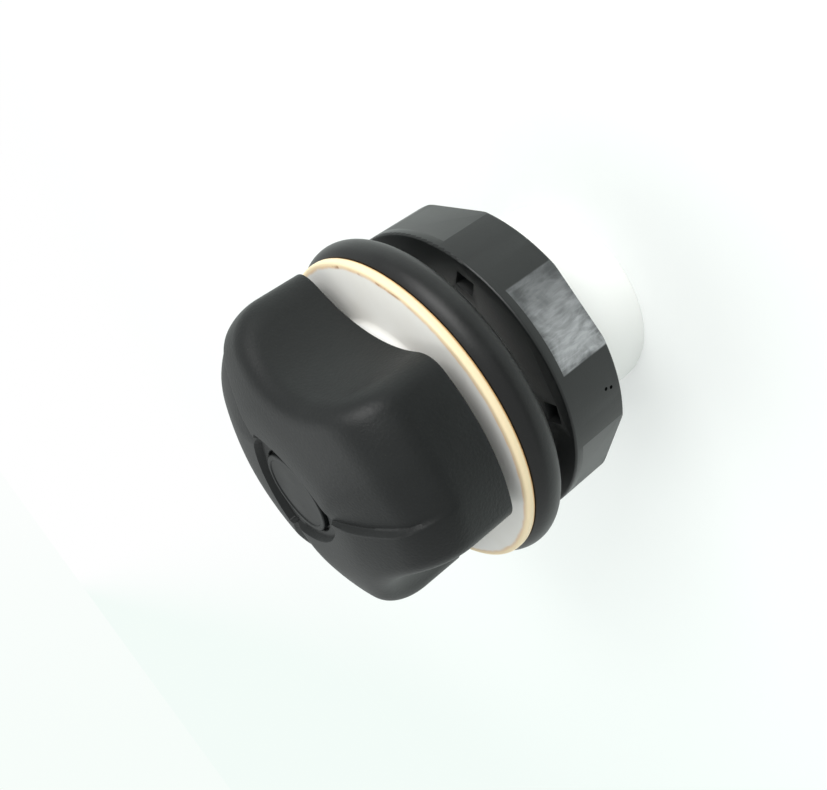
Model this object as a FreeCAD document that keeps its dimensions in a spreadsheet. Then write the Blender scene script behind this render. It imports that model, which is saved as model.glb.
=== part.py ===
import FreeCAD, Part
import math
import os
import Sketcher

# Oil filler neck: a flanged plastic neck with a hose pipe, a thick sealing ring, a lock nut
# and a three-lobed screw cap. Millimetres, +Z up to the cap, origin on the axis at the end
# of the hose pipe.

document = FreeCAD.newDocument("OilFillerNeck")

# Driving sizes, in millimetres and degrees

SIZES = [
    ("bore_radius", "22.5"),
    ("pipe_wall", "3"),
    ("pipe_chamfer", "0.6"),
    ("barrel_start", "19"),
    ("barrel_step", "2.5"),
    ("barrel_chamfer", "1.4"),
    ("flange_base", "54"),
    ("flange_reach", "12"),
    ("flange_thickness", "2.2"),
    ("flange_edge_round", "0.7"),
    ("socket_step", "0.7"),
    ("socket_depth", "20"),
    ("collar_wall", "2.2"),
    ("collar_height", "3.8"),
    ("collar_foot_round", "1"),
    ("ring_clearance", "0.4"),
    ("ring_bulge", "1.8"),
    ("ring_thickness", "7.6"),
    ("ring_edge_round", "0.5"),
    ("wall_gap", "7"),
    ("nut_clearance", "0.3"),
    ("nut_wall", "9.9"),
    ("nut_flat_depth", "1.5"),
    ("nut_length", "15.8"),
    ("nut_collar", "2.2"),
    ("nut_angle", "30"),
    ("nut_edge_round", "0.6"),
    ("nut_pocket_wall", "3.3"),
    ("nut_pocket_length", "3.7"),
    ("nut_pocket_width", "5"),
    ("nut_pocket_depth", "7"),
    ("cap_gap", "4.2"),
    ("cap_inset", "0.1"),
    ("cap_height", "30"),
    ("shoulder_radius", "14"),
    ("crown_radius", "80"),
    ("crown_drop", "2.2"),
    ("crown_round", "36"),
    ("flute_radius", "35.5"),
    ("flute_depth", "11.5"),
    ("flute_rim_round", "3"),
    ("swale_angle", "-74.8"),
    ("swale_depth", "2"),
    ("swale_spread", "12"),
    ("swale_lift", "0.15"),
    ("recess_angle", "-79.8"),
    ("recess_corner", "16"),
    ("recess_side", "12.4"),
    ("recess_step", "0.8"),
    ("cap_angle", "-46.2"),
    ("cap_wall", "2.8"),
    ("core_wall", "2.2"),
    ("stem_gap", "1.4"),
    ("stem_length", "17.4"),
    ("stem_wall", "2.4"),
    ("seal_thickness", "2"),
    ("seal_clearance", "0.4"),
    ("badge_radius", "10"),
    ("badge_thickness", "2"),
    ("badge_edge_round", "0.4"),
    ("badge_depth", "3"),
    ("badge_clearance", "0.6"),
]

NUT_SIDES = 6
CAP_LOBES = 3

sheet = document.addObject("Spreadsheet::Sheet", "sizes")
for row, (alias, value) in enumerate(SIZES, start=1):
    sheet.set(f"A{row}", alias)
    sheet.set(f"B{row}", value)
    sheet.setAlias(f"B{row}", alias)
document.recompute()

# Heights above the pipe's end, each worked out from the driving sizes

FLANGE_TOP = "(sizes.flange_base + sizes.flange_thickness)"
COLLAR_TOP = f"({FLANGE_TOP} + sizes.collar_height)"
SOCKET_FLOOR = f"({COLLAR_TOP} - sizes.socket_depth)"
RING_BOTTOM = "(sizes.flange_base - sizes.ring_thickness)"
NUT_TOP = f"({RING_BOTTOM} - sizes.wall_gap)"
NUT_BOTTOM = f"({NUT_TOP} - sizes.nut_length)"
SKIRT = f"({FLANGE_TOP} + sizes.cap_gap)"
APEX = f"({SKIRT} + sizes.cap_height)"
SEAL_TOP = f"({COLLAR_TOP} + sizes.seal_thickness)"
STEM_BOTTOM = f"({SKIRT} - sizes.stem_length)"
BADGE_SEAT = f"({APEX} - sizes.badge_depth - sizes.badge_thickness)"
CROWN_CENTRE = f"({APEX} - sizes.crown_radius)"
CROWN_FLAT = f"({APEX} - sizes.crown_drop)"
RECESS_FLOOR = f"({BADGE_SEAT} + sizes.badge_thickness - sizes.recess_step)"

# Radii, each a neighbour's radius and a wall or a clearance

PIPE_RADIUS = "(sizes.bore_radius + sizes.pipe_wall)"
BARREL_RADIUS = f"({PIPE_RADIUS} + sizes.barrel_step)"
FLANGE_RADIUS = f"({BARREL_RADIUS} + sizes.flange_reach)"
SOCKET_RADIUS = "(sizes.bore_radius + sizes.socket_step)"
COLLAR_RADIUS = f"({SOCKET_RADIUS} + sizes.collar_wall)"
RING_BORE = f"({BARREL_RADIUS} + sizes.ring_clearance)"
NUT_BORE = f"({BARREL_RADIUS} + sizes.nut_clearance)"
NUT_RADIUS = f"({NUT_BORE} + sizes.nut_wall)"
STEM_RADIUS = f"({SOCKET_RADIUS} - sizes.stem_gap)"
STEM_BORE = f"({STEM_RADIUS} - sizes.stem_wall)"
SEAL_BORE = f"({STEM_RADIUS} + sizes.seal_clearance)"
SEAT_RADIUS = f"({COLLAR_RADIUS} + sizes.seal_clearance)"
CORE_RADIUS = f"({SEAT_RADIUS} + sizes.core_wall)"
CAP_RADIUS = f"({FLANGE_RADIUS} - sizes.cap_inset)"
FLUTE_CENTRE = f"({CAP_RADIUS} - sizes.flute_depth + sizes.flute_radius)"
BADGE_RIM = "(sizes.badge_radius + sizes.badge_clearance)"


def value_of(expression):
    """The number that an expression on the sheet gives."""
    result = sheet.evalExpression(expression)
    return float(getattr(result, "Value", result))


def plane_of(body, role):
    """The body's own origin plane with this role."""
    return next(feature for feature in body.Origin.OriginFeatures if feature.Role == role)


def new_body(name):
    """An empty body with its own label."""
    body = document.addObject("PartDesign::Body", name)
    body.Label = name
    return body


def new_sketch(body, name, role, height=None):
    """A sketch on one of the body's origin planes, raised to a height if one is given."""
    sketch = body.newObject("Sketcher::SketchObject", name)
    sketch.AttachmentSupport = (plane_of(body, role), [""])
    sketch.MapMode = "FlatFace"
    if height:
        sketch.setExpression("AttachmentOffset.Base.z", height)
    return sketch


def pin_down(sketch, edge, end, x, y):
    """Ties one end of an edge, or a centre, to the expressions for its two coordinates."""
    for kind, axis, expression in (("DistanceX", -2, x), ("DistanceY", -1, y)):
        if expression == "0":
            sketch.addConstraint(Sketcher.Constraint("PointOnObject", edge, end, axis))
            continue
        number = value_of(expression)
        index = sketch.addConstraint(Sketcher.Constraint(kind, -1, 1, edge, end, number))
        sketch.setExpression(f"Constraints[{index}]", expression)


def draw_profile(sketch, corners, arcs=None):
    """A closed outline through corners; arcs gives a radius and a side for some of its edges.

    An arc is keyed by the number of the corner that it starts from. Its side is 1 where the
    centre lies to the left of the way from its start to its end, and -1 to the right.
    """
    arcs = arcs or {}
    points = [FreeCAD.Vector(value_of(x), value_of(y), 0) for x, y in corners]
    count = len(points)
    ends = []
    for index, start in enumerate(points):
        stop = points[(index + 1) % count]
        if index not in arcs:
            sketch.addGeometry(Part.LineSegment(start, stop))
            ends.append((1, 2))
            continue
        radius_expression, side = arcs[index]
        radius = value_of(radius_expression)
        middle = (start + stop) * 0.5
        half = (stop - start) * 0.5
        left = FreeCAD.Vector(-half.y, half.x, 0).normalize() * side
        centre = middle + left * math.sqrt(radius ** 2 - half.Length ** 2)
        first, last = (start, stop) if side > 0 else (stop, start)
        begin = math.atan2(first.y - centre.y, first.x - centre.x)
        finish = math.atan2(last.y - centre.y, last.x - centre.x)
        if finish < begin:
            finish += 2 * math.pi
        circle = Part.Circle(centre, FreeCAD.Vector(0, 0, 1), radius)
        sketch.addGeometry(Part.ArcOfCircle(circle, begin, finish))
        rule = sketch.addConstraint(Sketcher.Constraint("Radius", index, radius))
        sketch.setExpression(f"Constraints[{rule}]", radius_expression)
        ends.append((1, 2) if side > 0 else (2, 1))
    for index in range(count):
        after = (index + 1) % count
        joint = Sketcher.Constraint("Coincident", index, ends[index][1], after, ends[after][0])
        sketch.addConstraint(joint)
    for index, (x, y) in enumerate(corners):
        pin_down(sketch, index, ends[index][0], x, y)


def draw_circle(sketch, radius, centre_x="0"):
    """A circle of a given radius with its centre on the sketch's X axis."""
    centre = FreeCAD.Vector(value_of(centre_x), 0, 0)
    edge = sketch.addGeometry(Part.Circle(centre, FreeCAD.Vector(0, 0, 1), value_of(radius)))
    rule = sketch.addConstraint(Sketcher.Constraint("Radius", edge, value_of(radius)))
    sketch.setExpression(f"Constraints[{rule}]", radius)
    pin_down(sketch, edge, 3, centre_x, "0")


def revolve(body, name, corners, arcs=None):
    """A full turn of a profile in the XZ plane about the axis of the part."""
    sketch = new_sketch(body, f"{name}_profile", "XZ_Plane")
    draw_profile(sketch, corners, arcs)
    turned = body.newObject("PartDesign::Revolution", name)
    turned.Profile = sketch
    turned.ReferenceAxis = (sketch, ["V_Axis"])
    turned.Angle = 360
    document.recompute()
    return turned


def extrude(body, name, kind, sketch, length, upward=True):
    """A pad or pocket of a sketch, upward or downward along the axis, by a bound length."""
    feature = body.newObject(f"PartDesign::{kind}", name)
    feature.Profile = sketch
    feature.setExpression("Length", length)
    feature.Reversed = upward if kind == "Pocket" else not upward
    document.recompute()
    return feature


def pattern(body, name, feature, count):
    """Copies of a feature, evenly spaced round the axis of the part."""
    copies = body.newObject("PartDesign::PolarPattern", name)
    copies.Originals = [feature]
    copies.Axis = (feature.Profile[0], ["N_Axis"])
    copies.Angle = 360
    copies.Occurrences = count
    body.Tip = copies
    document.recompute()
    return copies


def dress(body, name, kind, base, edges, size):
    """A fillet or chamfer of bound size on the edges of the last feature."""
    feature = body.newObject(f"PartDesign::{kind}", name)
    feature.Base = (base, edges)
    feature.setExpression("Radius" if kind == "Fillet" else "Size", size)
    document.recompute()
    return feature


def rings_at(feature, radius, height):
    """The names of the circular edges of this radius about the axis at this height."""
    want_radius = value_of(radius)
    want_height = value_of(height)
    found = []
    for number, edge in enumerate(feature.Shape.Edges, start=1):
        if edge.Degenerated or not isinstance(edge.Curve, Part.Circle):
            continue
        centre = edge.Curve.Center
        on_axis = math.hypot(centre.x, centre.y) < 1e-4
        if on_axis and abs(edge.Curve.Radius - want_radius) < 1e-4 and abs(centre.z - want_height) < 1e-4:
            found.append(f"Edge{number}")
    return found


def edges_between(feature, is_first, is_second):
    """The names of the edges where a face of one kind meets a face of another."""
    shape = feature.Shape
    first = [edge for face in shape.Faces if is_first(face) for edge in face.Edges]
    second = [edge for face in shape.Faces if is_second(face) for edge in face.Edges]
    found = []
    for number, edge in enumerate(shape.Edges, start=1):
        if any(edge.isSame(other) for other in first) and any(edge.isSame(other) for other in second):
            found.append(f"Edge{number}")
    return found


# Neck body: pipe, threaded barrel, flange and collar in one moulding, open right through

neck = new_body("neck_body")
neck_turned = revolve(neck, "neck_turned", [
    ("sizes.bore_radius", "0"),
    (PIPE_RADIUS, "0"),
    (PIPE_RADIUS, "sizes.barrel_start"),
    (BARREL_RADIUS, "sizes.barrel_start"),
    (BARREL_RADIUS, "sizes.flange_base"),
    (FLANGE_RADIUS, "sizes.flange_base"),
    (FLANGE_RADIUS, FLANGE_TOP),
    (COLLAR_RADIUS, FLANGE_TOP),
    (COLLAR_RADIUS, COLLAR_TOP),
    (SOCKET_RADIUS, COLLAR_TOP),
    (SOCKET_RADIUS, SOCKET_FLOOR),
    ("sizes.bore_radius", SOCKET_FLOOR),
])
flange_edges = rings_at(neck_turned, FLANGE_RADIUS, "sizes.flange_base")
flange_edges += rings_at(neck_turned, FLANGE_RADIUS, FLANGE_TOP)
neck_rounded = dress(neck, "flange_edge", "Fillet", neck_turned, flange_edges, "sizes.flange_edge_round")
foot = rings_at(neck_rounded, COLLAR_RADIUS, FLANGE_TOP)
neck_foot = dress(neck, "collar_foot", "Fillet", neck_rounded, foot, "sizes.collar_foot_round")
lead_in = rings_at(neck_foot, BARREL_RADIUS, "sizes.barrel_start")
neck_lead = dress(neck, "barrel_lead_in", "Chamfer", neck_foot, lead_in, "sizes.barrel_chamfer")
pipe_end = rings_at(neck_lead, PIPE_RADIUS, "0")
dress(neck, "pipe_end", "Chamfer", neck_lead, pipe_end, "sizes.pipe_chamfer")

# Sealing ring: thick rubber with a bulging rim, loose on the barrel under the flange

ring = new_body("sealing_ring")
ring_arc = "((sizes.ring_thickness ^ 2 / 4 + sizes.ring_bulge ^ 2) / (2 * sizes.ring_bulge))"
ring_turned = revolve(ring, "ring_turned", [
    (RING_BORE, RING_BOTTOM),
    (FLANGE_RADIUS, RING_BOTTOM),
    (FLANGE_RADIUS, "sizes.flange_base"),
    (RING_BORE, "sizes.flange_base"),
], {1: (ring_arc, 1)})
ring_edge = rings_at(ring_turned, FLANGE_RADIUS, RING_BOTTOM)
dress(ring, "ring_edge", "Fillet", ring_turned, ring_edge, "sizes.ring_edge_round")

# Lock nut: a round body with six flats, a plain collar on top and a cored pocket at each corner

nut = new_body("lock_nut")
nut_turned = revolve(nut, "nut_turned", [
    (NUT_BORE, NUT_BOTTOM),
    (NUT_RADIUS, NUT_BOTTOM),
    (NUT_RADIUS, NUT_TOP),
    (NUT_BORE, NUT_TOP),
])
nut_edges = rings_at(nut_turned, NUT_RADIUS, NUT_BOTTOM)
nut_edges += rings_at(nut_turned, NUT_RADIUS, NUT_TOP)
dress(nut, "nut_edges", "Fillet", nut_turned, nut_edges, "sizes.nut_edge_round")
flat_sketch = new_sketch(nut, "flat_sketch", "XY_Plane", NUT_BOTTOM)
FLAT_DISTANCE = f"({NUT_RADIUS} - sizes.nut_flat_depth)"
FLAT_OUTSIDE = f"({NUT_RADIUS} + sizes.nut_flat_depth)"
FLAT_HALF_WIDTH = f"({NUT_RADIUS} / 2)"
flat_corners = [
    (FLAT_DISTANCE, f"-{FLAT_HALF_WIDTH}"),
    (FLAT_OUTSIDE, f"-{FLAT_HALF_WIDTH}"),
    (FLAT_OUTSIDE, FLAT_HALF_WIDTH),
    (FLAT_DISTANCE, FLAT_HALF_WIDTH),
]
draw_profile(flat_sketch, flat_corners)
nut_flat = extrude(nut, "nut_flat", "Pocket", flat_sketch, "sizes.nut_length - sizes.nut_collar")
nut_flats = pattern(nut, "nut_flats", nut_flat, NUT_SIDES)
pocket_sketch = new_sketch(nut, "pocket_sketch", "XY_Plane", NUT_TOP)
POCKET_OUTER = f"({NUT_RADIUS} - sizes.nut_pocket_wall)"
POCKET_INNER = f"({POCKET_OUTER} - sizes.nut_pocket_length)"
POCKET_HALF_WIDTH = "(sizes.nut_pocket_width / 2)"
pocket_corners = [
    (POCKET_INNER, f"-{POCKET_HALF_WIDTH}"),
    (POCKET_OUTER, f"-{POCKET_HALF_WIDTH}"),
    (POCKET_OUTER, POCKET_HALF_WIDTH),
    (POCKET_INNER, POCKET_HALF_WIDTH),
]
draw_profile(pocket_sketch, pocket_corners)
pocket_sketch.setExpression("AttachmentOffset.Rotation.Angle", f"{180 / NUT_SIDES}")
nut_pocket = extrude(nut, "nut_pocket", "Pocket", pocket_sketch, "sizes.nut_pocket_depth", upward=False)
nut_pockets = pattern(nut, "nut_pockets", nut_pocket, NUT_SIDES)
nut.setExpression("Placement.Rotation.Angle", "sizes.nut_angle")

# Cap seal: a flat rubber ring between the collar's rim and the cap

seal = new_body("cap_seal")
revolve(seal, "seal_turned", [
    (SEAL_BORE, COLLAR_TOP),
    (COLLAR_RADIUS, COLLAR_TOP),
    (COLLAR_RADIUS, SEAL_TOP),
    (SEAL_BORE, SEAL_TOP),
])

# Cap: domed three-lobed moulding with a screw stem, hollow in its lobes

form = new_body("cap_form")


def dome_corners(shrink, inner):
    """The cap's outline from its skirt over the crown's arc to a radius, smaller by shrink.

    Returns:
        The corners, the radius of the crown's arc and the corner where the shoulder is rounded.
    """
    side = f"({CAP_RADIUS} - {shrink})"
    crown = f"(sizes.crown_radius - {shrink})"
    shoulder = (side, f"({CROWN_CENTRE} + sqrt({crown} ^ 2 - {side} ^ 2))")
    top = (inner, f"({CROWN_CENTRE} + sqrt({crown} ^ 2 - {inner} ^ 2))")
    return [(side, SKIRT), shoulder, top], crown, shoulder


def cut_flutes(body, name, grow):
    """The three upright finger flutes, larger all round by grow."""
    sketch = new_sketch(body, f"{name}_sketch", "XY_Plane", SKIRT)
    draw_circle(sketch, f"(sizes.flute_radius + {grow})", FLUTE_CENTRE)
    flute = extrude(body, name, "Pocket", sketch, "sizes.cap_height")
    return pattern(body, f"{name}_set", flute, CAP_LOBES)


CROWN_UNDERSIDE = f"({BADGE_SEAT} - sizes.cap_wall)"
FLAT_RADIUS = "sqrt(sizes.crown_radius ^ 2 - (sizes.crown_radius - sizes.crown_drop) ^ 2)"

dome_line, dome_crown, dome_shoulder = dome_corners("0", FLAT_RADIUS)
stem_line = [
    (STEM_BORE, STEM_BOTTOM),
    (STEM_RADIUS, STEM_BOTTOM),
    (STEM_RADIUS, SEAL_TOP),
    (SEAT_RADIUS, SEAL_TOP),
    (SEAT_RADIUS, SKIRT),
]
crown_line = [
    (BADGE_RIM, CROWN_FLAT),
    (BADGE_RIM, BADGE_SEAT),
    ("0", BADGE_SEAT),
    ("0", CROWN_UNDERSIDE),
    (STEM_BORE, CROWN_UNDERSIDE),
]
crown_start = len(stem_line) + 1
dome = revolve(form, "dome", stem_line + dome_line + crown_line, {crown_start: (dome_crown, 1)})
dome_edge = rings_at(dome, *dome_shoulder)
domed = dress(form, "dome_shoulder", "Fillet", dome, dome_edge, "sizes.shoulder_radius")
crown_edge = rings_at(domed, FLAT_RADIUS, CROWN_FLAT)
dress(form, "crown_edge", "Fillet", domed, crown_edge, "sizes.crown_round")

# Three swales: each falls away from a radial crease on its lobe and fades out round the crown

SWALE_STEPS = (1, 0.6, 0.25, 0)
SWALE_SIDE = f"({CAP_RADIUS} + sizes.swale_lift)"
SWALE_HUB = f"({SWALE_SIDE} - sizes.shoulder_radius)"
SWALE_INNER = "(sizes.crown_radius - sizes.shoulder_radius)"
SWALE_RISE = f"sqrt({SWALE_INNER} ^ 2 - {SWALE_HUB} ^ 2)"
SWALE_OUTSIDE = f"({CAP_RADIUS} + sizes.shoulder_radius)"
SWALE_TOP = f"({APEX} + sizes.shoulder_radius)"


def swale_section(number, share):
    """A radial section of a swale: what lies above the dome's outline, lowered by a share."""
    sketch = new_sketch(form, f"swale_section_{number}", "XZ_Plane")
    turn = f"(sizes.swale_angle + {number} * sizes.swale_spread)"
    sketch.AttachmentOffset = FreeCAD.Placement(
        FreeCAD.Vector(0, 0, 0), FreeCAD.Rotation(FreeCAD.Vector(0, -1, 0), value_of(turn)))
    sketch.setExpression("AttachmentOffset.Rotation.Angle", f"-{turn}")
    centre = f"({CROWN_CENTRE} + sizes.swale_lift - {share} * sizes.swale_depth)"
    start = f"({centre} + sqrt(sizes.crown_radius ^ 2 - sizes.badge_radius ^ 2))"
    join_radius = f"(sizes.crown_radius * {SWALE_HUB} / {SWALE_INNER})"
    join_height = f"({centre} + sizes.crown_radius * {SWALE_RISE} / {SWALE_INNER})"
    corners = [
        (SWALE_OUTSIDE, SKIRT),
        (SWALE_OUTSIDE, SWALE_TOP),
        ("sizes.badge_radius", SWALE_TOP),
        ("sizes.badge_radius", start),
        (join_radius, join_height),
        (SWALE_SIDE, f"({centre} + {SWALE_RISE})"),
        (SWALE_SIDE, SKIRT),
    ]
    draw_profile(sketch, corners, {3: ("sizes.crown_radius", -1), 4: ("sizes.shoulder_radius", -1)})
    return sketch


swale_sections = [swale_section(number, share) for number, share in enumerate(SWALE_STEPS)]
document.recompute()
swale = form.newObject("PartDesign::SubtractiveLoft", "swale")
swale.Profile = swale_sections[0]
swale.Sections = swale_sections[1:]
document.recompute()
swales = form.newObject("PartDesign::PolarPattern", "swales")
swales.Originals = [swale]
swales.Axis = (form.Origin.OriginFeatures[2], [""])
swales.Angle = 360
swales.Occurrences = CAP_LOBES
form.Tip = swales
document.recompute()

# Rounded three-cornered recess round the badge, with a corner at the foot of each crease

recess_sketch = new_sketch(form, "recess_sketch", "XY_Plane", RECESS_FLOOR)
RECESS_CHORD = "(sizes.recess_corner * sqrt(3) / 2)"
RECESS_RISE = "(sizes.recess_side - sizes.recess_corner / 2)"
RECESS_ARC = f"(({RECESS_CHORD} ^ 2 + {RECESS_RISE} ^ 2) / (2 * {RECESS_RISE}))"
recess_corners = []
for lobe in range(CAP_LOBES):
    turn = f"(sizes.recess_angle + {lobe} * 360 / {CAP_LOBES})"
    across = f"(sizes.recess_corner * cos({turn} * 1 deg))"
    along = f"(sizes.recess_corner * sin({turn} * 1 deg))"
    recess_corners.append((across, along))
draw_profile(recess_sketch, recess_corners, {lobe: (RECESS_ARC, 1) for lobe in range(CAP_LOBES)})
recess = extrude(form, "recess", "Pocket", recess_sketch, "sizes.cap_height")
fluted = cut_flutes(form, "flute", "0")
flute_radius = value_of("sizes.flute_radius")


def is_flute(face):
    """Whether a face is the wall of a finger flute."""
    return isinstance(face.Surface, Part.Cylinder) and abs(face.Surface.Radius - flute_radius) < 1e-4


def is_outside(face):
    """Whether a face belongs to the domed outside of the cap."""
    return not isinstance(face.Surface, Part.Plane) and not is_flute(face)


rims = edges_between(fluted, is_flute, is_outside)
rounded = dress(form, "flute_rims", "Fillet", fluted, rims, "sizes.flute_rim_round")

hollow = new_body("lobe_hollows")
hollow.AllowCompound = True
hollow_line, hollow_crown, hollow_shoulder = dome_corners("sizes.cap_wall", CORE_RADIUS)
hollow_dome = revolve(hollow, "hollow_dome", [(CORE_RADIUS, SKIRT)] + hollow_line, {2: (hollow_crown, 1)})
hollow_edge = rings_at(hollow_dome, *hollow_shoulder)
HOLLOW_ROUND = "sizes.shoulder_radius - sizes.cap_wall"
dress(hollow, "hollow_shoulder", "Fillet", hollow_dome, hollow_edge, HOLLOW_ROUND)
cut_flutes(hollow, "hollow_flute", "sizes.cap_wall")

cap = document.addObject("Part::Cut", "cap_knob")
cap.Base = form
cap.Tool = hollow
cap.Label = "cap_knob"
cap.setExpression("Placement.Rotation.Angle", "sizes.cap_angle")

# Cap badge: a plain round plate let into the crown

badge = new_body("cap_badge")
badge_sketch = new_sketch(badge, "badge_sketch", "XY_Plane", BADGE_SEAT)
draw_circle(badge_sketch, "sizes.badge_radius")
badge_pad = extrude(badge, "badge_pad", "Pad", badge_sketch, "sizes.badge_thickness")
badge_rim = rings_at(badge_pad, "sizes.badge_radius", f"{BADGE_SEAT} + sizes.badge_thickness")
dress(badge, "badge_edge", "Fillet", badge_pad, badge_rim, "sizes.badge_edge_round")

document.recompute()

# Every object must be sound before anything is written

for item in document.Objects:
    if "Invalid" in item.State or "Error" in item.State:
        raise RuntimeError(f"{item.Label} is not sound: {item.State}")

os.makedirs("parts", exist_ok=True)
for piece in (neck, ring, nut, seal, cap, badge):
    shape = piece.Shape
    if shape.isNull() or not shape.isValid() or len(shape.Solids) != 1:
        raise RuntimeError(f"{piece.Label} has no sound single solid")
    shape.exportStep(f"parts/{piece.Label}.step")
    print(f"{piece.Label}: {shape.Volume / 1000:.2f} cm3")
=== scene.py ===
import logging
import math
from dataclasses import dataclass, field
from enum import Enum
from typing import Callable, Iterable, Optional, Sequence, Union

import bmesh
import bpy
import numpy as np
from mathutils import Matrix, Vector


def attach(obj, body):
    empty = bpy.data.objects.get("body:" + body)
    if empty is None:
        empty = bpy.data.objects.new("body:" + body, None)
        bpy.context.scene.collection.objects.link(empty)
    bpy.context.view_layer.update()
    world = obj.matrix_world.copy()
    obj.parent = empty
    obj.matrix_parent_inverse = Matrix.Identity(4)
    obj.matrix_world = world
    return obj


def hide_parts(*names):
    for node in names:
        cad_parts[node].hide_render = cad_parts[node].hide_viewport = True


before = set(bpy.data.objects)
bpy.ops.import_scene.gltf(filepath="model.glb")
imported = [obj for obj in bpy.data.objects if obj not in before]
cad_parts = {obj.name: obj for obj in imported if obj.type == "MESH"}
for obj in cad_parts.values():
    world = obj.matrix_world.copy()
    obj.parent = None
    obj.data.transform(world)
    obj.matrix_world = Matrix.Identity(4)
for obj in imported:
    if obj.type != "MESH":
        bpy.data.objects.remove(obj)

LOG = logging.getLogger("filler_neck")
TAU = 2.0 * math.pi
UP = (0.0, 0.0, 1.0)
CENTRE = (0.0, 0.0, 0.0)
# In metres: a millimetre, how near points are to be welded, and how near heights are to be equal
MM = 0.001
WELD = 0.000002
LEVEL = 0.00001
FILLET_STEPS = 5
Number = Union[int, float]
Triple = tuple[float, float, float]
Colour = Triple


class Body(Enum):
    """The moving bodies that pieces ride on."""

    NECK = "neck"
    RING = "ring"
    NUT = "nut"
    SEAL = "seal"
    CAP = "cap"


class Shading(Enum):
    """The angle in degrees from which a piece's edges are shaded sharp."""

    SOFT = 48.0
    MOULDED = 32.0


# Shader building

class Signal:
    """A shader socket that takes part in Python arithmetic."""

    def __init__(self, tree: bpy.types.NodeTree, socket: bpy.types.NodeSocket) -> None:
        """Wraps a socket.

        Args:
            tree: the node tree that the socket is in.
            socket: an output socket.
        """
        self.tree = tree
        self.socket = socket

    def apply(self, operation: str, *others: "Value") -> "Signal":
        """Adds a Math node with this signal first.

        Args:
            operation: the Math node's operation.
            others: the further values, in order.

        Returns:
            The node's result.
        """
        node = self.tree.nodes.new("ShaderNodeMath")
        node.operation = operation
        for target, value in zip(node.inputs, (self, *others)):
            if isinstance(value, Signal):
                self.tree.links.new(value.socket, target)
            else:
                target.default_value = value
        return Signal(self.tree, node.outputs[0])

    def __add__(self, other: "Value") -> "Signal":
        """self + other."""
        return self.apply("ADD", other)

    def __radd__(self, other: Number) -> "Signal":
        """other + self."""
        return self.apply("ADD", other)

    def __sub__(self, other: "Value") -> "Signal":
        """self - other."""
        return self.apply("SUBTRACT", other)

    def __mul__(self, other: "Value") -> "Signal":
        """self * other."""
        return self.apply("MULTIPLY", other)

    def __abs__(self) -> "Signal":
        """abs(self)."""
        return self.apply("ABSOLUTE")

    def between(self, low: Number, high: Number) -> "Signal":
        """A smooth step from 0 at low to 1 at high; it falls where high is below low.

        Args:
            low: the value that gives 0.
            high: the value that gives 1.

        Returns:
            The stepped signal.
        """
        node = self.tree.nodes.new("ShaderNodeMapRange")
        node.interpolation_type = "SMOOTHSTEP"
        rising = high > low
        node.inputs["From Min"].default_value = low if rising else high
        node.inputs["From Max"].default_value = high if rising else low
        node.inputs["To Min"].default_value = 0.0 if rising else 1.0
        node.inputs["To Max"].default_value = 1.0 if rising else 0.0
        self.tree.links.new(self.socket, node.inputs["Value"])
        return Signal(self.tree, node.outputs["Result"])

    def bump_at(self, centre: Number, width: Number) -> "Signal":
        """A soft peak of height 1 at a value.

        Args:
            centre: where the peak stands.
            width: how far from it the peak has fallen to 0.

        Returns:
            The peak as a signal.
        """
        return abs(self - centre).between(width, 0.0)


Value = Union[Signal, int, float]


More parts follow.
